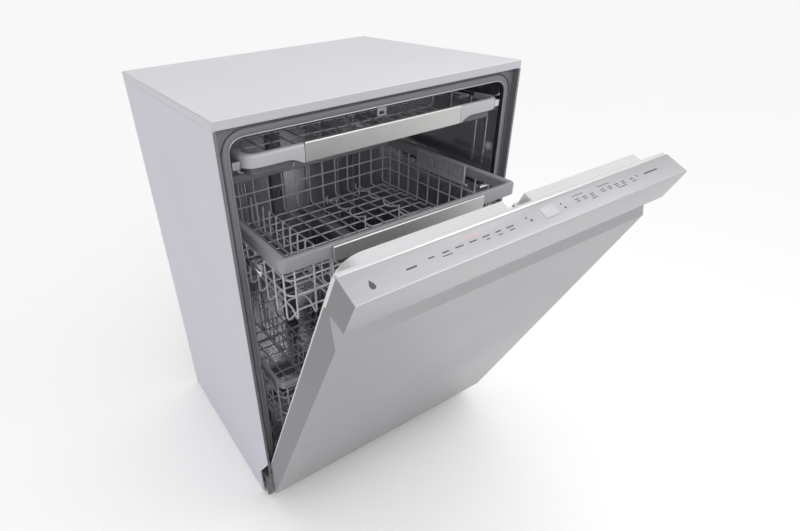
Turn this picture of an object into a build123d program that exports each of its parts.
"""Built-in dishwasher in its casing, door part open, with three racks.

Origin: centre of the casing's footprint on the floor. +X right, +Z up, the front faces -Y.
The model stands as it does with the door 25.5 degrees open and the upper rack part out.
Units are millimetres.
"""

import os
from math import cos, radians, sin

from build123d import *

os.makedirs("parts", exist_ok=True)

# ---------------------------------------------------------------- driving dimensions
WIDTH = 604  # casing, outside
DEPTH = 500
HEIGHT = 854
SIDE_SHEET = 4  # casing side panels
TOP_BOARD = 14
SHEET = 2  # tub and door sheet, and most plastic walls
SLIP = 0.05  # running clearance on a pin's radius
GAP = 0.3  # between neighbours on one body

FRONT = -DEPTH / 2
BACK = DEPTH / 2
HALF = WIDTH / 2
INSIDE = HALF - SIDE_SHEET  # half the width between the side panels
UNDER_TOP = HEIGHT - TOP_BOARD

# door hinge line and door size; s runs up the door from the hinge, o runs outwards
HINGE_Y = FRONT + 10.5
HINGE_Z = 129
DOOR_OPEN = 25.5
DOOR_HALF = 297
DOOR_BOTTOM = -52
PANEL_TOP = 600
POCKET_TOP = 638
DOOR_TOP = 697
PANEL_FACE = 44.7
FASCIA_FACE = 46
LINER_FACE = 1
LINER_RAISE = -18

# tub
TUB_HALF = 286
TUB_FRONT = FRONT + 12
TUB_BACK = BACK - 35
TUB_FLOOR = 118
TUB_TOP = 828
TUB_CORNER = 36
SILL_TOP = 144
SUMP_Y = -12
SUMP_R = 75

# wash system heights
LOWER_ARM_Z = 148
MIDDLE_ARM_Z = 500
TOP_ARM_Z = 803

# racks as they stand with the door part open
THIRD_FRONT = -250
THIRD_BOTTOM = 752
THIRD_TOP = 790
UPPER_FRONT = -324
UPPER_BOTTOM = 538
UPPER_RIM = 630
UPPER_RIM_TOP = 651
LOWER_FRONT = -245
LOWER_BOTTOM = 192
LOWER_TOP = 335
RACK_WIRE = 2  # wire radius

# planes of the door as it stands: DOOR has x across and y up the door, z outwards
LEAN = radians(DOOR_OPEN)
DOOR = Plane(origin=(0, HINGE_Y, HINGE_Z), x_dir=(1, 0, 0), z_dir=(0, -cos(LEAN), -sin(LEAN)))
DOOR_SIDE = Plane(origin=(0, HINGE_Y, HINGE_Z), x_dir=(0, -sin(LEAN), cos(LEAN)), z_dir=(1, 0, 0))


def at_y(y):
    """An upright plane across the appliance at y, facing the front."""
    return Plane.XZ.offset(-y)


def block(low, high, mode=Mode.ADD):
    """A box between two corners, in the frame of the part being built."""
    size = [b - a for a, b in zip(low, high)]
    with Locations(tuple((a + b) / 2 for a, b in zip(low, high))):
        Box(*size, mode=mode)


def rod_x(x0, x1, places, radius=RACK_WIRE, mode=Mode.ADD):
    """Equal round rods along X at each (y, z) place."""
    with Locations([((x0 + x1) / 2, y, z) for y, z in places]):
        Cylinder(radius, x1 - x0, rotation=(0, 90, 0), mode=mode)


def rod_y(y0, y1, places, radius=RACK_WIRE, mode=Mode.ADD):
    """Equal round rods along Y at each (x, z) place."""
    with Locations([(x, (y0 + y1) / 2, z) for x, z in places]):
        Cylinder(radius, y1 - y0, rotation=(90, 0, 0), mode=mode)


def rod_z(z0, z1, places, radius=RACK_WIRE, mode=Mode.ADD):
    """Equal upright round rods at each (x, y) place."""
    with Locations([(x, y, (z0 + z1) / 2) for x, y in places]):
        Cylinder(radius, z1 - z0, mode=mode)


def spread(first, last, count):
    """Evenly spaced values from first to last."""
    return [first + (last - first) * i / (count - 1) for i in range(count)]


def save(name, piece):
    """Label a finished piece and write it."""
    piece.part.label = name
    export_step(piece.part, f"parts/{name}.step")


# ================================================================ casing
TOE_BACK = 59  # the side panels step back above the toe space
TOE_TOP = 154
TOE_LOW = 70

for name, x in (("left_side_panel", -HALF), ("right_side_panel", INSIDE)):
    with BuildPart() as side_panel:
        with BuildSketch(Plane.YZ.offset(x)):
            with BuildLine():
                Polyline(
                    (FRONT, UNDER_TOP),
                    (FRONT, TOE_TOP),
                    (FRONT + TOE_BACK, TOE_LOW),
                    (FRONT + TOE_BACK, 0),
                    (BACK, 0),
                    (BACK, UNDER_TOP),
                    close=True,
                )
            make_face()
        extrude(amount=SIDE_SHEET)
    save(name, side_panel)

with BuildPart() as top_panel:
    block((-HALF, FRONT, UNDER_TOP), (HALF, BACK, HEIGHT))
    chamfer(top_panel.faces().sort_by(Axis.Z)[-1].edges(), 0.8)
save("top_panel", top_panel)

REAR_LOW = 90
with BuildPart() as rear_panel:
    block((-INSIDE, BACK - SHEET, REAR_LOW), (INSIDE, BACK, UNDER_TOP))
    with BuildSketch(at_y(BACK - SHEET)):
        with Locations((0, 450)):
            with GridLocations(150, 180, 3, 4):
                RectangleRounded(110, 140, 12)
    extrude(amount=SHEET, mode=Mode.ADD)
save("rear_panel", rear_panel)

# ---------------------------------------------------------------- base and feet
BASE_FRONT = HINGE_Y + 70  # behind the sweep of the door's lower edge
BASE_RING = 36  # width of the ring that stands on the floor
BASE_TALL = 25
FOOT_X = 279
FOOT_FRONT = BASE_FRONT + 20
FOOT_BACK = BACK - 22
FOOT_R = 13
FOOT_ROD = 5
FOOT_DISC = 8
FEET = [(x, y) for x in (-FOOT_X, FOOT_X) for y in (FOOT_FRONT, FOOT_BACK)]

with BuildPart() as base_frame:
    block((-INSIDE + GAP, BASE_FRONT, 0), (INSIDE - GAP, BACK - SHEET - GAP, BASE_TALL))
    block(
        (-INSIDE + BASE_RING, BASE_FRONT + BASE_RING, 0),
        (INSIDE - BASE_RING, BACK - BASE_RING, BASE_TALL),
        Mode.SUBTRACT,
    )
    for x in (-INSIDE + GAP, INSIDE - GAP - SHEET):
        block((x, BASE_FRONT, BASE_TALL), (x + SHEET, BACK - SHEET - GAP, TUB_FLOOR - GAP))
    rod_z(0, FOOT_DISC + 1, FEET, FOOT_R + 2, Mode.SUBTRACT)
    rod_z(0, BASE_TALL, FEET, FOOT_ROD + SLIP, Mode.SUBTRACT)
save("base_frame", base_frame)

foot_names = ("foot_front_left", "foot_rear_left", "foot_front_right", "foot_rear_right")
for name, place in zip(foot_names, FEET):
    with BuildPart() as foot:
        rod_z(0, FOOT_DISC, [place], FOOT_R)
        chamfer(foot.edges().group_by(Axis.Z)[0], 1)
        rod_z(FOOT_DISC, 62, [place], FOOT_ROD)
        rod_z(FOOT_DISC, FOOT_DISC + 1 - GAP, [place], FOOT_R - 4)
    save(name, foot)

KICK_FRONT = FRONT + 42
KICK_TOP = 64
with BuildPart() as kick_plate:
    block((-INSIDE + 1, KICK_FRONT, 1), (INSIDE - 1, KICK_FRONT + 3, KICK_TOP))
    block((-INSIDE + 1, KICK_FRONT, KICK_TOP - 3), (INSIDE - 1, BASE_FRONT - GAP, KICK_TOP))
    fillet(kick_plate.edges().filter_by(Axis.X).sort_by(Axis.Z)[-2:].sort_by(Axis.Y)[0], 2)
    for x in (-200, 0, 200):
        block((x - 1.5, KICK_FRONT + 3, 20), (x + 1.5, BASE_FRONT - GAP, KICK_TOP - 3))
save("kick_plate", kick_plate)

PAN_HALF = INSIDE - BASE_RING - 2
PAN_FRONT = BASE_FRONT + BASE_RING + 2
PAN_BACK = BACK - BASE_RING - 2
with BuildPart() as drip_pan:
    block((-PAN_HALF, PAN_FRONT, 2), (PAN_HALF, PAN_BACK, 20))
    offset(amount=-SHEET, openings=drip_pan.faces().sort_by(Axis.Z)[-1])
save("drip_pan", drip_pan)

# ================================================================ tub
TUB_MID_Z = (TUB_FLOOR + TUB_TOP) / 2
TUB_TALL = TUB_TOP - TUB_FLOOR
TUB_LONG = TUB_BACK - TUB_FRONT

with BuildPart() as tub:
    with BuildSketch(at_y(TUB_BACK)):
        with Locations((0, TUB_MID_Z)):
            RectangleRounded(2 * TUB_HALF, TUB_TALL, TUB_CORNER)
    extrude(amount=TUB_LONG)
    with BuildSketch(at_y(TUB_BACK - SHEET)):
        with Locations((0, TUB_MID_Z)):
            RectangleRounded(2 * (TUB_HALF - SHEET), TUB_TALL - 2 * SHEET, TUB_CORNER - SHEET)
    extrude(amount=TUB_LONG, mode=Mode.SUBTRACT)
    with BuildSketch(at_y(TUB_FRONT + SHEET)):
        with Locations((0, TUB_MID_Z)):
            RectangleRounded(2 * TUB_HALF, TUB_TALL, TUB_CORNER)
        with Locations((0, SILL_TOP + TUB_TALL / 2)):
            Rectangle(2 * TUB_HALF + 2, TUB_TALL, mode=Mode.SUBTRACT)
    extrude(amount=SHEET)
    rod_z(TUB_FLOOR - 1, TUB_FLOOR + SHEET + 1, [(0, SUMP_Y)], SUMP_R, Mode.SUBTRACT)
save("tub", tub)

FRAME_LOW = 150
FRAME_DEEP = 12
FRAME_TOP = UNDER_TOP - GAP
with BuildPart() as tub_front_frame:
    with BuildSketch(at_y(TUB_FRONT + FRAME_DEEP)):
        with Locations((0, (FRAME_LOW + FRAME_TOP) / 2)):
            Rectangle(2 * (INSIDE - GAP), FRAME_TOP - FRAME_LOW)
        with Locations((0, TUB_MID_Z)):
            RectangleRounded(
                2 * (TUB_HALF + GAP), TUB_TALL + 2 * GAP, TUB_CORNER, mode=Mode.SUBTRACT
            )
    extrude(amount=FRAME_DEEP)
    with BuildSketch(at_y(TUB_FRONT)):
        with Locations((0, TUB_MID_Z)):
            RectangleRounded(2 * (TUB_HALF + 8), TUB_TALL + 16, TUB_CORNER + 8)
            RectangleRounded(
                2 * (TUB_HALF + 5), TUB_TALL + 10, TUB_CORNER + 5, mode=Mode.SUBTRACT
            )
        with Locations((0, FRAME_LOW - TUB_TALL / 2)):
            Rectangle(2 * WIDTH, TUB_TALL, mode=Mode.SUBTRACT)
    extrude(amount=-4, mode=Mode.SUBTRACT)
save("tub_front_frame", tub_front_frame)


def arch(outer, inner, low, deep, y):
    """An arch round the tub's mouth, between two distances outside the tub's half-width."""
    with BuildPart() as piece:
        with BuildSketch(at_y(y)):
            with Locations((0, TUB_MID_Z)):
                RectangleRounded(2 * (TUB_HALF + outer), TUB_TALL + 2 * outer, TUB_CORNER + outer)
                RectangleRounded(
                    2 * (TUB_HALF + inner),
                    TUB_TALL + 2 * inner,
                    TUB_CORNER + inner,
                    mode=Mode.SUBTRACT,
                )
            with Locations((0, low - TUB_TALL / 2)):
                Rectangle(2 * WIDTH, TUB_TALL, mode=Mode.SUBTRACT)
        extrude(amount=deep)
    return piece


# the bright lip covers the joint between tub and frame; the gasket lies just inside it
save("tub_lip_trim", arch(2.5, -2.5, FRAME_LOW, 2.1, TUB_FRONT - 0.05))
GASKET = 6
save("door_gasket", arch(-SHEET - 0.1, -SHEET - GASKET, FRAME_LOW, GASKET, TUB_FRONT + 10))

LATCH_X = -6
with BuildPart() as door_strike:
    block((LATCH_X - 9, TUB_FRONT + 1, 806), (LATCH_X + 9, TUB_FRONT + 3, 825.9))
    block((LATCH_X - 5, TUB_FRONT, 809), (LATCH_X + 5, TUB_FRONT + 4, 814), Mode.SUBTRACT)
save("door_strike", door_strike)

# ---------------------------------------------------------------- hinges
HINGE_PIN = 4
ARM_IN = 290.5
ARM_THICK = 4
with BuildPart() as hinge_brackets:
    for side in (-1, 1):
        x0, x1 = sorted((side * (TUB_HALF + GAP), side * (TUB_HALF + 3.5)))
        block((x0, TUB_FRONT, 119.5), (x1, TUB_FRONT + 86, 146))
        x0, x1 = sorted((side * (TUB_HALF + 1), side * (INSIDE - 1)))
        rod_x(x0, x1, [(HINGE_Y, HINGE_Z)], HINGE_PIN)
save("hinge_brackets", hinge_brackets)

with BuildPart() as door_hinge_arms:
    for x in (-ARM_IN - ARM_THICK, ARM_IN):
        with BuildSketch(DOOR_SIDE.offset(x)):
            Circle(9)
            with Locations((75, 8)):
                Rectangle(150, 8)
            with Locations((4.5, 6)):
                Rectangle(9, 12)
            Circle(HINGE_PIN + SLIP, mode=Mode.SUBTRACT)
        extrude(amount=ARM_THICK)
save("door_hinge_arms", door_hinge_arms)

# ---------------------------------------------------------------- rack rails in the tub
RAIL_OUT = TUB_HALF - SHEET - 0.2
RAIL_IN = 270
THIRD_RAIL_Z = 770
UPPER_RAIL_Z = 606


RAILS = ((THIRD_RAIL_Z, 20, -216), (UPPER_RAIL_Z, 24, -212))
RAIL_BACK = 190
TRACK_TOP = 150
TRACK_IN = 254
TRACK_OUT = 276
with BuildPart() as rack_rails:
    for side in (-1, 1):
        for bottom, tall, front in RAILS:
            x0, x1 = sorted((side * RAIL_IN, side * RAIL_OUT))
            block((x0, front, bottom), (x1, RAIL_BACK, bottom + tall))
            x0, x1 = sorted((side * (RAIL_IN - 1), side * (RAIL_OUT - SHEET)))
            channel = (x1, RAIL_BACK - 3, bottom + tall - 3)
            block((x0, front - 1, bottom + 3), channel, Mode.SUBTRACT)
        x0, x1 = sorted((side * TRACK_IN, side * TRACK_OUT))
        block((x0, -214, TRACK_TOP - 12), (x1, 200, TRACK_TOP))
        x0, x1 = sorted((side * (TRACK_IN - 1), side * (TRACK_OUT - 3)))
        block((x0, -215, TRACK_TOP - 13), (x1, 201, TRACK_TOP - 3), Mode.SUBTRACT)
save("rack_rails", rack_rails)

# ================================================================ wash system
DUCT_HALF = 16
DUCT_FRONT = TUB_BACK - SHEET - 12
with BuildPart() as wash_duct:
    block((-DUCT_HALF, DUCT_FRONT, TUB_FLOOR + 8), (DUCT_HALF, TUB_BACK - SHEET - 0.2, 825.8))
    block((-DUCT_HALF, SUMP_Y - 20, 817), (DUCT_HALF, DUCT_FRONT, 825.8))
    rod_z(815, 817, [(0, SUMP_Y)], 14)
    rod_z(TOP_ARM_Z - 2, 815, [(0, SUMP_Y)], 6)
    rod_y(DUCT_FRONT - 8, DUCT_FRONT, [(0, 525.5)], 12)
    rod_y(DUCT_FRONT - 9, DUCT_FRONT + 4, [(0, 525.5)], 8, Mode.SUBTRACT)
save("wash_duct", wash_duct)

SUMP_LOW = 60
POST_R = 12
FILTER_Y = SUMP_Y - 46
FILTER_R = 24
with BuildPart() as sump:
    rod_z(SUMP_LOW, TUB_FLOOR - GAP, [(0, SUMP_Y)], SUMP_R + 8)
    rod_z(SUMP_LOW + 3, TUB_FLOOR, [(0, SUMP_Y)], SUMP_R, Mode.SUBTRACT)
    rod_z(SUMP_LOW, SUMP_LOW + 4, [(0, SUMP_Y)], 5, Mode.SUBTRACT)
    for spoke in (30, 150, 270):
        with Locations(Location((0, SUMP_Y, 84), (0, 0, spoke))):
            with Locations((43.5, 0, 0)):
                Box(64, 4, 6)
    rod_z(82, LOWER_ARM_Z + 8, [(0, SUMP_Y)], POST_R)
    rod_z(81, LOWER_ARM_Z + 9, [(0, SUMP_Y)], POST_R - 3, Mode.SUBTRACT)
save("sump", sump)

with BuildPart() as filter_plate:
    rod_z(TUB_FLOOR + SHEET + 0.2, TUB_FLOOR + SHEET + 3, [(0, SUMP_Y)], 112)
    rod_z(TUB_FLOOR, TUB_FLOOR + 6, [(0, SUMP_Y)], POST_R + 0.5, Mode.SUBTRACT)
    rod_z(TUB_FLOOR, TUB_FLOOR + 6, [(0, FILTER_Y)], FILTER_R + 0.5, Mode.SUBTRACT)
    slots = [(x, SUMP_Y + 50 + 14 * row) for row in range(3) for x in (-36, -12, 12, 36)]
    with Locations([(x, y, TUB_FLOOR + 3) for x, y in slots]):
        Box(14, 5, 8, mode=Mode.SUBTRACT)
save("filter_plate", filter_plate)

with BuildPart() as filter_cylinder:
    rod_z(90, 132, [(0, FILTER_Y)], FILTER_R)
    rod_z(89, 128, [(0, FILTER_Y)], FILTER_R - SHEET, Mode.SUBTRACT)
    block((-18, FILTER_Y - 3, 132), (18, FILTER_Y + 3, 140))
save("filter_cylinder", filter_cylinder)

FLOAT_X = -235
FLOAT_Y = -185
with BuildPart() as overflow_float:
    rod_z(TUB_FLOOR + SHEET + 0.5, 140, [(FLOAT_X, FLOAT_Y)], 20)
    fillet(overflow_float.edges().group_by(Axis.Z)[-1], 8)
    rod_z(TUB_FLOOR, 136, [(FLOAT_X, FLOAT_Y)], 17, Mode.SUBTRACT)
save("overflow_float", overflow_float)

with BuildPart() as wash_motor:
    rod_z(24, SUMP_LOW - GAP, [(0, SUMP_Y)], 46)
    fillet(wash_motor.edges().group_by(Axis.Z)[0], 5)
    rod_z(SUMP_LOW - GAP, 64, [(0, SUMP_Y)], 4)
save("wash_motor", wash_motor)

with BuildPart() as pump_impeller:
    rod_z(66, 68, [(0, SUMP_Y)], 32)
    rod_z(64.3, 76, [(0, SUMP_Y)], 8)
    for blade in range(6):
        with Locations(Location((0, SUMP_Y, 72), (0, 0, 60 * blade))):
            with Locations((18, 0, 0)):
                Box(24, 2, 8)
save("pump_impeller", pump_impeller)


def spray_arm(centre_y, bottom, reach, hub_bottom, hub_top, bore):
    """A hollow-looking two-ended spray arm with a row of jets and a hub, lying along X."""
    tall = 12
    with BuildPart() as arm:
        with BuildSketch(Plane.XY.offset(bottom)):
            with Locations((0, centre_y)):
                with BuildLine():
                    Polyline(
                        (-reach, centre_y - 12),
                        (-30, centre_y - 24),
                        (30, centre_y - 24),
                        (reach, centre_y - 12),
                        (reach, centre_y + 12),
                        (30, centre_y + 24),
                        (-30, centre_y + 24),
                        (-reach, centre_y + 12),
                        close=True,
                    )
                make_face()
        extrude(amount=tall)
        fillet(arm.edges().filter_by(Axis.Z), 6)
        fillet(arm.faces().sort_by(Axis.Z)[-1].edges(), 3)
        rod_z(hub_bottom, hub_top, [(0, centre_y)], 18)
        rod_z(hub_bottom - 1, hub_top - 3, [(0, centre_y)], bore + SLIP, Mode.SUBTRACT)
        jets = [(side * x, centre_y) for side in (-1, 1) for x in spread(55, reach - 15, 5)]
        rod_z(bottom + tall - 4, bottom + tall + 1, jets, 3, Mode.SUBTRACT)
    return arm


ARM_REACH = 200
save("lower_spray_arm", spray_arm(SUMP_Y, LOWER_ARM_Z, ARM_REACH, LOWER_ARM_Z - 4, 161, POST_R))

with BuildPart() as top_spray_arm:
    with BuildSketch(Plane.XY.offset(TOP_ARM_Z)):
        with Locations((0, SUMP_Y)):
            SlotOverall(300, 30)
            Circle(24)
    extrude(amount=8)
    fillet(top_spray_arm.faces().sort_by(Axis.Z)[0].edges(), 2)
    rod_z(TOP_ARM_Z - 3, TOP_ARM_Z + 11, [(0, SUMP_Y)], 12)
    rod_z(TOP_ARM_Z - 2.3, TOP_ARM_Z + 12, [(0, SUMP_Y)], 6 + SLIP, Mode.SUBTRACT)
save("top_spray_arm", top_spray_arm)

with BuildPart() as drain_pump:
    rod_x(SUMP_R + 8 + GAP, 150, [(SUMP_Y, 80)], 20)
    rod_x(150, 158, [(SUMP_Y, 80)], 12)
    fillet(drain_pump.edges().group_by(Axis.X)[-1], 2)
save("drain_pump", drain_pump)

INLET_X = -200
DRAIN_X = -130
PORT_Z = 42
INLET_R = 13.2
DRAIN_R = 10
with BuildPart() as inlet_valve:
    block((INLET_X - 20, 165, PORT_Z - 15), (INLET_X + 20, 225, PORT_Z + 30))
    fillet(inlet_valve.edges().filter_by(Axis.Y), 4)
    rod_y(225, 249, [(INLET_X, PORT_Z)], INLET_R)
    rod_y(210, 250, [(INLET_X, PORT_Z)], 9, Mode.SUBTRACT)
save("inlet_valve", inlet_valve)

with BuildPart() as drain_outlet:
    block((DRAIN_X - 16, 200, PORT_Z - 15), (DRAIN_X + 16, 222, PORT_Z + 15))
    fillet(drain_outlet.edges().filter_by(Axis.Y), 5)
    rod_y(222, 249, [(DRAIN_X, PORT_Z)], DRAIN_R)
    rod_y(205, 250, [(DRAIN_X, PORT_Z)], 7.5, Mode.SUBTRACT)
save("drain_outlet", drain_outlet)

BOX_X = 200
CONDUIT_R = 11
with BuildPart() as junction_box:
    block((BOX_X - 42, 180, 27), (BOX_X + 42, 240, 72))
    offset(amount=-SHEET, openings=junction_box.faces().sort_by(Axis.Z)[0])
    rod_y(230, 250, [(BOX_X, 50)], CONDUIT_R, Mode.SUBTRACT)
save("junction_box", junction_box)

# ================================================================ door
with BuildPart() as door_outer_panel:
    with BuildSketch(DOOR_SIDE.offset(-DOOR_HALF)):
        with BuildLine():
            Polyline(
                (DOOR_BOTTOM, 13),
                (DOOR_BOTTOM, PANEL_FACE),
                (PANEL_TOP, PANEL_FACE),
                (POCKET_TOP, 16),
                (POCKET_TOP, 3.2),
                (16, 3.2),
                (16, 13),
                close=True,
            )
        make_face()
    extrude(amount=2 * DOOR_HALF)
    with BuildSketch(DOOR_SIDE.offset(-DOOR_HALF + SHEET)):
        with BuildLine():
            Polyline(
                (DOOR_BOTTOM + SHEET, 0),
                (DOOR_BOTTOM + SHEET, PANEL_FACE - SHEET),
                (PANEL_TOP - 0.8, PANEL_FACE - SHEET),
                (POCKET_TOP - SHEET, 15),
                (POCKET_TOP - SHEET, 0),
                close=True,
            )
        make_face()
    extrude(amount=2 * (DOOR_HALF - SHEET), mode=Mode.SUBTRACT)
save("door_outer_panel", door_outer_panel)

FASCIA_IN = 6.8
FASCIA_WALL = 2.5
DISPLAY_X = 14
DISPLAY_WIDE = 26
with BuildPart(DOOR) as control_fascia:
    with BuildSketch(DOOR_SIDE.offset(-DOOR_HALF)):
        with BuildLine():
            Polyline(
                (POCKET_TOP + 0.4, FASCIA_IN),
                (POCKET_TOP + 3.5, FASCIA_FACE - 0.5),
                (POCKET_TOP + 5, FASCIA_FACE),
                (DOOR_TOP, FASCIA_FACE),
                (DOOR_TOP, FASCIA_IN),
                close=True,
            )
        make_face()
    extrude(amount=2 * DOOR_HALF)
    fillet(control_fascia.faces().sort_by(Axis.Y)[0].edges().sort_by(Axis.Z)[-1], 1.5)
    with BuildSketch(DOOR_SIDE.offset(-DOOR_HALF + FASCIA_WALL)):
        with BuildLine():
            Polyline(
                (POCKET_TOP + 3, FASCIA_IN - 1),
                (POCKET_TOP + 6, FASCIA_FACE - FASCIA_WALL),
                (DOOR_TOP - FASCIA_WALL, FASCIA_FACE - FASCIA_WALL),
                (DOOR_TOP - FASCIA_WALL, FASCIA_IN - 1),
                close=True,
            )
        make_face()
    extrude(amount=2 * (DOOR_HALF - FASCIA_WALL), mode=Mode.SUBTRACT)
    block(
        (DISPLAY_X - DISPLAY_WIDE / 2, DOOR_TOP - 4, 17),
        (DISPLAY_X + DISPLAY_WIDE / 2, DOOR_TOP + 1, 33),
        Mode.SUBTRACT,
    )
save("control_fascia", control_fascia)

with BuildPart(DOOR) as display_window:
    block(
        (DISPLAY_X - DISPLAY_WIDE / 2 + SLIP, DOOR_TOP - 3, 17 + SLIP),
        (DISPLAY_X + DISPLAY_WIDE / 2 - SLIP, DOOR_TOP, 33 - SLIP),
    )
save("display_window", display_window)

with BuildPart(DOOR) as control_board:
    block((-220, DOOR_TOP - 9, 11), (220, DOOR_TOP - 7, 40))
    for x in (-210, -120, -30, 60, 150):
        block((x, DOOR_TOP - 17, 16), (x + 30, DOOR_TOP - 9, 34))
save("control_board", control_board)

# inner liner: a flat flange with a raised pan that enters the tub, notched for the latch
LINER_LOW = 4
LINER_HIGH = 692
PAN_X = 276
PAN_LOW = 20
PAN_HIGH = 688
NOTCH_HALF = 21
NOTCH_LOW = 664
HOUSING_TOP = 675
HOOK_S = 672
HOOK_O = -5
HOOK_PIN = 2
CUP_LOW = 300
CUP_HIGH = 410
CUP_HALF = 75
with BuildPart(DOOR) as door_inner_liner:
    for wall, face, depth, mode in (
        (0, LINER_RAISE, LINER_FACE - LINER_RAISE, Mode.ADD),
        (SHEET, LINER_RAISE + SHEET, LINER_FACE - LINER_RAISE, Mode.SUBTRACT),
    ):
        if mode == Mode.SUBTRACT:
            block((-DOOR_HALF + 0.5, LINER_LOW, 1), (DOOR_HALF - 0.5, LINER_HIGH, 3))
        with BuildSketch(DOOR.offset(face)):
            with Locations((0, (PAN_LOW + PAN_HIGH) / 2)):
                RectangleRounded(2 * (PAN_X - wall), PAN_HIGH - PAN_LOW - 2 * wall, 30 - wall)
            with Locations((LATCH_X, NOTCH_LOW - wall + 30)):
                Rectangle(2 * (NOTCH_HALF + wall), 60, mode=Mode.SUBTRACT)
        extrude(amount=depth + wall, mode=mode)
    block((-CUP_HALF, CUP_LOW, LINER_RAISE - 1), (CUP_HALF, CUP_HIGH, 0), Mode.SUBTRACT)
    for side in (-1, 1):
        x0, x1 = sorted((side * (ARM_IN - 1.5), side * DOOR_HALF))
        block((x0, 0, 0), (x1, 11, 4), Mode.SUBTRACT)
    latch_left = LATCH_X - NOTCH_HALF - 1
    latch_right = LATCH_X + NOTCH_HALF + 1
    block((latch_left, NOTCH_LOW - 2, -16), (latch_right, HOUSING_TOP, 1.5))
    block((LATCH_X - 7, NOTCH_LOW, -17), (LATCH_X + 7, HOUSING_TOP + 1, 0), Mode.SUBTRACT)
    rod_x(LATCH_X - 15, LATCH_X + 15, [(HOOK_S, HOOK_O)], HOOK_PIN + SLIP, Mode.SUBTRACT)
save("door_inner_liner", door_inner_liner)

with BuildPart(DOOR) as door_insulation:
    block((-DOOR_HALF + 8, PAN_LOW, 12), (DOOR_HALF - 8, 590, 40))
save("door_insulation", door_insulation)

# detergent and rinse-aid dispenser, its cup open towards the tub
CUP_FACE = LINER_RAISE - 1
LID_LOW = 306
LID_HIGH = 398
LID_LEFT = -66
LID_RIGHT = 8
CAP_X = 42
CAP_S = 370
CAP_R = 16
LID_PIN = 1.5
with BuildPart(DOOR) as dispenser_body:
    block((-CUP_HALF + 0.3, CUP_LOW + 0.3, CUP_FACE), (CUP_HALF - 0.3, CUP_HIGH - 0.3, 9))
    block((LID_LEFT + 4, LID_LOW + 6, CUP_FACE - 1), (LID_RIGHT - 4, LID_HIGH - 4, 4), Mode.SUBTRACT)
    with Locations((CAP_X, CAP_S, -8)):
        Cylinder(CAP_R - 4, 26, mode=Mode.SUBTRACT)
    block((LID_LEFT - 5, LID_LOW - 4, CUP_FACE - 5), (LID_LEFT - 0.5, LID_LOW + 4, CUP_FACE))
    block((LID_RIGHT + 0.5, LID_LOW - 4, CUP_FACE - 5), (LID_RIGHT + 5, LID_LOW + 4, CUP_FACE))
    rod_x(LID_LEFT - 6, LID_RIGHT + 6, [(LID_LOW, CUP_FACE - 2.5)], LID_PIN + SLIP, Mode.SUBTRACT)
save("dispenser_body", dispenser_body)

with BuildPart(DOOR) as detergent_lid:
    block((LID_LEFT, LID_LOW + 3, CUP_FACE - 4), (LID_RIGHT, LID_HIGH, CUP_FACE - 0.4))
    fillet(detergent_lid.edges().filter_by(Axis(DOOR.origin, DOOR.z_dir)), 3)
    block((LID_LEFT, LID_LOW, CUP_FACE - 4), (LID_RIGHT, LID_LOW + 8, CUP_FACE - 1))
    rod_x(LID_LEFT - 4.5, LID_RIGHT + 4.5, [(LID_LOW, CUP_FACE - 2.5)], LID_PIN)
save("detergent_lid", detergent_lid)

with BuildPart(DOOR) as rinse_aid_cap:
    with Locations((CAP_X, CAP_S, CUP_FACE - 2.6)):
        Cylinder(CAP_R, 4.4)
    with Locations((CAP_X, CAP_S, CUP_FACE + 6)):
        Cylinder(CAP_R - 4.3, 13)
    block((CAP_X - 12, CAP_S - 2, CUP_FACE - 8), (CAP_X + 12, CAP_S + 2, CUP_FACE - 4.8))
save("rinse_aid_cap", rinse_aid_cap)

# latch hook, at rest turned clear of the strike
with BuildPart(DOOR) as latch_hook:
    block((LATCH_X - 5, HOOK_S - 4, HOOK_O - 4), (LATCH_X + 5, HOOK_S + 4, HOOK_O + 3))
    block((LATCH_X - 5, HOOK_S - 4, HOOK_O - 10), (LATCH_X + 5, HOOK_S, HOOK_O - 4))
    rod_x(LATCH_X - 13, LATCH_X + 13, [(HOOK_S, HOOK_O)], HOOK_PIN)
save("latch_hook", latch_hook)

# ================================================================ third rack
TRAY_HALF = 252
TRAY_DEEP = 392
TRAY_Y0 = THIRD_FRONT + 8
TRAY_Y1 = TRAY_Y0 + TRAY_DEEP
THIRD_BAR_HALF = 160
CAP_OUT = 262
CAP_CORNER = 35

with BuildPart() as third_rack_basket:
    floor_x = spread(-225, 225, 13)
    floor_y = spread(TRAY_Y0 + 26, TRAY_Y1 - 12, 6)
    rod_y(TRAY_Y0 + 10, TRAY_Y1, [(x, THIRD_BOTTOM + 2) for x in floor_x])
    rod_x(-TRAY_HALF, TRAY_HALF, [(y, THIRD_BOTTOM - 2.1) for y in floor_y])
    sides = [(side * (TRAY_HALF - 2), y) for side in (-1, 1) for y in floor_y]
    rod_z(THIRD_BOTTOM, THIRD_TOP - 5, sides)
    back_places = [(x, TRAY_Y1 + 2.1) for x in floor_x[::2]]
    rod_z(THIRD_BOTTOM, THIRD_TOP - 5, back_places)
    rod_y(TRAY_Y0 + 64, TRAY_Y1, [(side * (TRAY_HALF - 2), THIRD_TOP - 2.4) for side in (-1, 1)], 2.5)
    rod_x(-TRAY_HALF, TRAY_HALF, [(TRAY_Y1 + 2.6, THIRD_TOP - 2.4)], 2.5)
save("third_rack_basket", third_rack_basket)

with BuildPart() as third_rack_handle:
    block((-THIRD_BAR_HALF, THIRD_FRONT, 765), (THIRD_BAR_HALF, THIRD_FRONT + 9, 797))
    chamfer(third_rack_handle.edges().filter_by(Axis.X).sort_by(Axis.Z)[-2:], 1.5)
save("third_rack_handle", third_rack_handle)


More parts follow.
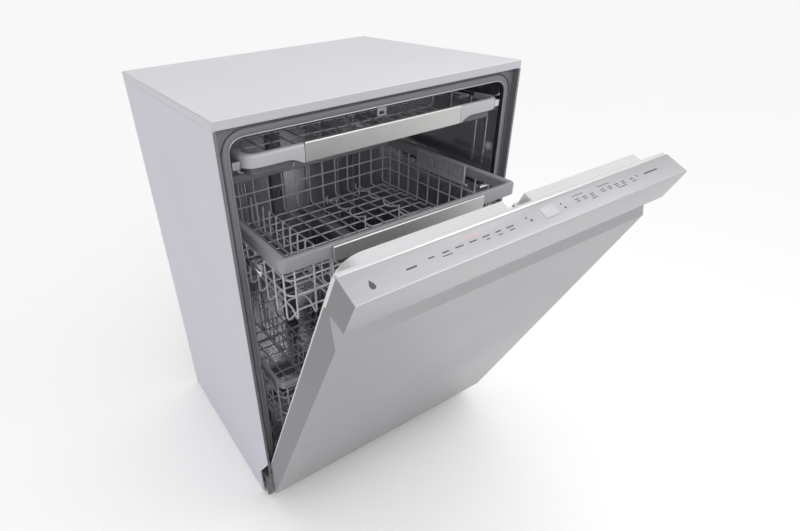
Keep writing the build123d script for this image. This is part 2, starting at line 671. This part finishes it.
def corner_caps(bar_half, out, corner, front, deep, bottom, top, wall):
    """Left and right moulded corners that turn from the handle bar back along the rack."""
    with BuildPart() as caps:
        with BuildSketch(Plane.XY.offset(bottom)):
            with Locations((0, front + deep)):
                RectangleRounded(2 * out, 2 * deep, corner)
                RectangleRounded(
                    2 * (out - wall), 2 * (deep - wall), corner - wall, mode=Mode.SUBTRACT
                )
            with Locations((0, front + 1.5 * deep)):
                Rectangle(2 * out, deep, mode=Mode.SUBTRACT)
            with Locations((0, front)):
                Rectangle(2 * (bar_half + 0.2), 2 * deep, mode=Mode.SUBTRACT)
        extrude(amount=top - bottom)
        fillet(caps.faces().sort_by(Axis.Z)[-1].edges(), 2)
    return caps


caps = corner_caps(THIRD_BAR_HALF, CAP_OUT, CAP_CORNER, THIRD_FRONT + 1, 60, 768, 793, 9)
save("third_rack_corners", caps)

SLIDER_OUT = RAIL_IN + 5
with BuildPart() as third_rack_sliders:
    for side in (-1, 1):
        x0, x1 = sorted((side * (CAP_OUT + 0.3), side * SLIDER_OUT))
        block((x0, -234, THIRD_RAIL_Z + 4), (x1, 150, THIRD_RAIL_Z + 16))
        x0, x1 = sorted((side * TRAY_HALF, side * (CAP_OUT + 0.3)))
        for y in (-150, 0, 130):
            block((x0, y, THIRD_RAIL_Z + 6), (x1, y + 14, THIRD_RAIL_Z + 12))
save("third_rack_sliders", third_rack_sliders)

# ================================================================ upper rack
UPPER_HALF = 254
UPPER_DEEP = 396
UPPER_Y0 = UPPER_FRONT + 6
UPPER_Y1 = UPPER_Y0 + UPPER_DEEP
UPPER_BAR_HALF = 163
RIM_WIDE = 14
UPPER_MID_Y = (UPPER_Y0 + UPPER_Y1) / 2

with BuildPart() as upper_rack_rim:
    with BuildSketch(Plane.XY.offset(UPPER_RIM)):
        with Locations((0, UPPER_MID_Y)):
            RectangleRounded(2 * UPPER_HALF, UPPER_DEEP, 34)
            RectangleRounded(
                2 * (UPPER_HALF - RIM_WIDE), UPPER_DEEP - 2 * RIM_WIDE, 20, mode=Mode.SUBTRACT
            )
    extrude(amount=UPPER_RIM_TOP - UPPER_RIM)
    fillet(upper_rack_rim.faces().sort_by(Axis.Z)[-1].edges(), 3)
save("upper_rack_rim", upper_rack_rim)

with BuildPart() as upper_rack_handle:
    block((-UPPER_BAR_HALF, UPPER_FRONT, 623), (UPPER_BAR_HALF, UPPER_Y0 - 0.1, 650))
    chamfer(upper_rack_handle.edges().filter_by(Axis.X).sort_by(Axis.Z)[-2:], 1.5)
save("upper_rack_handle", upper_rack_handle)


def wire_basket(half, y0, y1, bottom, top, columns, rows, middle):
    """A basket of straight wires: floor grid, upright sides and one ring at mid-height."""
    r = RACK_WIRE
    xs = spread(-half + 22, half - 22, columns)
    ys = spread(y0 + 18, y1 - 18, rows)
    with BuildPart() as basket:
        rod_y(y0 + 3, y1 - 3, [(x, bottom + 2 * r + 0.1) for x in xs])
        rod_x(-half, half, [(y, bottom) for y in ys])
        sides = [(side * (half - r), y) for side in (-1, 1) for y in ys]
        rod_z(bottom + r + 0.05, top, sides)
        ends = [(x, y) for y in (y0, y1) for x in xs]
        rod_z(bottom + r, top, ends)
        inner = half - 3 * r - 0.1
        rod_y(y0 + 3, y1 - 3, [(side * inner, middle) for side in (-1, 1)])
        rod_x(-inner + 3, inner - 3, [(y, middle) for y in (y0 + 2 * r + 0.1, y1 - 2 * r - 0.1)])
    return basket


UPPER_WIRE_HALF = 244
BASKET_Y0 = UPPER_Y0 + 8
BASKET_Y1 = UPPER_Y1 - 8
save(
    "upper_rack_basket",
    wire_basket(
        UPPER_WIRE_HALF, BASKET_Y0, BASKET_Y1, UPPER_BOTTOM, UPPER_RIM - 0.1, 11, 8, 586
    ),
)

with BuildPart() as upper_rack_sliders:
    for side in (-1, 1):
        x0, x1 = sorted((side * (UPPER_HALF + 4), side * SLIDER_OUT))
        block((x0, UPPER_Y0 + 10, UPPER_RAIL_Z + 5), (x1, UPPER_Y1 - 6, UPPER_RAIL_Z + 19))
        x0, x1 = sorted((side * (UPPER_WIRE_HALF + 0.1), side * (UPPER_HALF + 4)))
        for y in (-270, -120, 30):
            block((x0, y, UPPER_RAIL_Z + 8), (x1, y + 30, UPPER_RAIL_Z + 16))
save("upper_rack_sliders", upper_rack_sliders)


def tine_row(x, y0, y1, z, tall, count):
    """A row of upright tines on a pivot rod that runs front to back."""
    with BuildPart() as row:
        rod_y(y0, y1, [(x, z)], 2.2)
        rod_z(z + 1.5, z + tall, [(x, y) for y in spread(y0 + 6, y1 - 6, count)], 1.8)
    return row


UPPER_TINE_X = -150
UPPER_TINE_Z = UPPER_BOTTOM + 9
save("upper_rack_tines", tine_row(UPPER_TINE_X, -290, 40, UPPER_TINE_Z, 62, 12))

# slotted cup shelf, standing folded up against the right side
SHELF_X = 226
SHELF_Z = 618
SHELF_Y0 = -208
SHELF_Y1 = -60
with BuildPart() as cup_shelf:
    block((SHELF_X, SHELF_Y0, SHELF_Z), (SHELF_X + 4, SHELF_Y1, SHELF_Z + 40))
    for y in spread(SHELF_Y0 + 10, SHELF_Y1 - 14, 12):
        block((SHELF_X - 1, y, SHELF_Z + 10), (SHELF_X + 5, y + 4, SHELF_Z + 32), Mode.SUBTRACT)
    rod_y(SHELF_Y0 - 8, SHELF_Y1 + 8, [(SHELF_X + 2, SHELF_Z)], 2.5)
save("cup_shelf", cup_shelf)

PIPE_Z = 519
with BuildPart() as middle_feed_pipe:
    block((-14, UPPER_MID_Y - 18, PIPE_Z), (14, UPPER_Y1, PIPE_Z + 13))
    rod_z(MIDDLE_ARM_Z + 3, PIPE_Z, [(0, UPPER_MID_Y)], 8)
    rod_z(PIPE_Z + 13, UPPER_BOTTOM - 2.1, [(0, UPPER_MID_Y), (0, UPPER_Y1 - 40)], 5)
save("middle_feed_pipe", middle_feed_pipe)

with BuildPart() as middle_spray_arm:
    with BuildSketch(Plane.XY.offset(MIDDLE_ARM_Z)):
        with Locations((0, UPPER_MID_Y)):
            SlotOverall(380, 34)
            Circle(30)
    extrude(amount=12)
    fillet(middle_spray_arm.faces().sort_by(Axis.Z)[-1].edges(), 3)
    fillet(middle_spray_arm.faces().sort_by(Axis.Z)[0].edges(), 3)
    rod_z(MIDDLE_ARM_Z + 2, PIPE_Z + 1, [(0, UPPER_MID_Y)], 8 + SLIP, Mode.SUBTRACT)
    jets = [(side * x, UPPER_MID_Y) for side in (-1, 1) for x in spread(50, 170, 5)]
    rod_z(MIDDLE_ARM_Z + 8, MIDDLE_ARM_Z + 13, jets, 3, Mode.SUBTRACT)
save("middle_spray_arm", middle_spray_arm)

# ================================================================ lower rack
LOWER_HALF = 248
LOWER_DEEP = 400
LOWER_Y0 = LOWER_FRONT + 8
LOWER_Y1 = LOWER_Y0 + LOWER_DEEP
WHEEL_R = 18
WHEEL_WIDE = 10
WHEEL_X = 257
WHEEL_Z = TRACK_TOP + WHEEL_R + 0.4
AXLE_R = 3
AXLES = {"front": -165, "rear": 105}

basket = wire_basket(LOWER_HALF, LOWER_Y0, LOWER_Y1, LOWER_BOTTOM, LOWER_TOP - 4.1, 11, 8, 262)
with BuildPart() as lower_rack_basket:
    add(basket.part)
    for side in (-1, 1):
        x0, x1 = sorted((side * (LOWER_HALF - 5), side * LOWER_HALF))
        block((x0, LOWER_Y0 - 4, LOWER_TOP - 4), (x1, LOWER_Y1 + 4, LOWER_TOP))
        x0, x1 = sorted((side * (LOWER_HALF - 6), side * LOWER_HALF))
        for y in AXLES.values():
            block((x0, y - 9, WHEEL_Z - 8), (x1, y + 9, LOWER_BOTTOM - 2.1))
    for y in (LOWER_Y0 - 2, LOWER_Y1 - 2):
        block((-LOWER_HALF + 5.1, y, LOWER_TOP - 4), (LOWER_HALF - 5.1, y + 4, LOWER_TOP))
    rod_x(-260, 260, [(y, WHEEL_Z) for y in AXLES.values()], AXLE_R + SLIP, Mode.SUBTRACT)
save("lower_rack_basket", lower_rack_basket)

with BuildPart() as lower_rack_handle:
    with BuildSketch(at_y(LOWER_FRONT + 4)):
        with Locations((0, LOWER_TOP - 14)):
            RectangleRounded(220, 26, 10)
            RectangleRounded(120, 12, 5, mode=Mode.SUBTRACT)
    extrude(amount=5)
    fillet(lower_rack_handle.faces().sort_by(Axis.Y)[0].edges(), 1)
save("lower_rack_handle", lower_rack_handle)

for name, y in AXLES.items():
    with BuildPart() as wheels:
        rod_x(-WHEEL_X, WHEEL_X, [(y, WHEEL_Z)], AXLE_R)
        for side in (-1, 1):
            x0, x1 = sorted((side * WHEEL_X, side * (WHEEL_X + WHEEL_WIDE)))
            rod_x(x0, x1, [(y, WHEEL_Z)], WHEEL_R)
            x0, x1 = sorted((side * (WHEEL_X + 7), side * (WHEEL_X + 11)))
            rod_x(x0, x1, [(y, WHEEL_Z)], WHEEL_R - 5, Mode.SUBTRACT)
            x0, x1 = sorted((side * WHEEL_X, side * (WHEEL_X + 9)))
            rod_x(x0, x1, [(y, WHEEL_Z)], AXLE_R + 3)
    save(f"{name}_wheels", wheels)

LOWER_TINE_X = -130
LOWER_TINE_Z = LOWER_BOTTOM + 9
save("lower_rack_tines", tine_row(LOWER_TINE_X, -215, 130, LOWER_TINE_Z, 92, 13))

# silverware basket, standing at the rear right of the lower rack
CUTLERY = (95, 55, 215, 145)  # x0, y0, x1, y1
CUTLERY_Z = LOWER_BOTTOM + 8
with BuildPart() as silverware_basket:
    x0, y0, x1, y1 = CUTLERY
    block((x0, y0, CUTLERY_Z), (x1, y1, CUTLERY_Z + 110))
    cell = (x1 - x0 - SHEET) / 3
    for column in range(3):
        left = x0 + SHEET + column * cell
        block((left, y0 + SHEET, CUTLERY_Z + SHEET), (left + cell - SHEET, y1 - SHEET, 400), Mode.SUBTRACT)
    for z in spread(CUTLERY_Z + 14, CUTLERY_Z + 86, 5):
        for x in spread(x0 + 10, x1 - 16, 7):
            block((x, y0 - 1, z), (x + 6, y1 + 1, z + 10), Mode.SUBTRACT)
save("silverware_basket", silverware_basket)
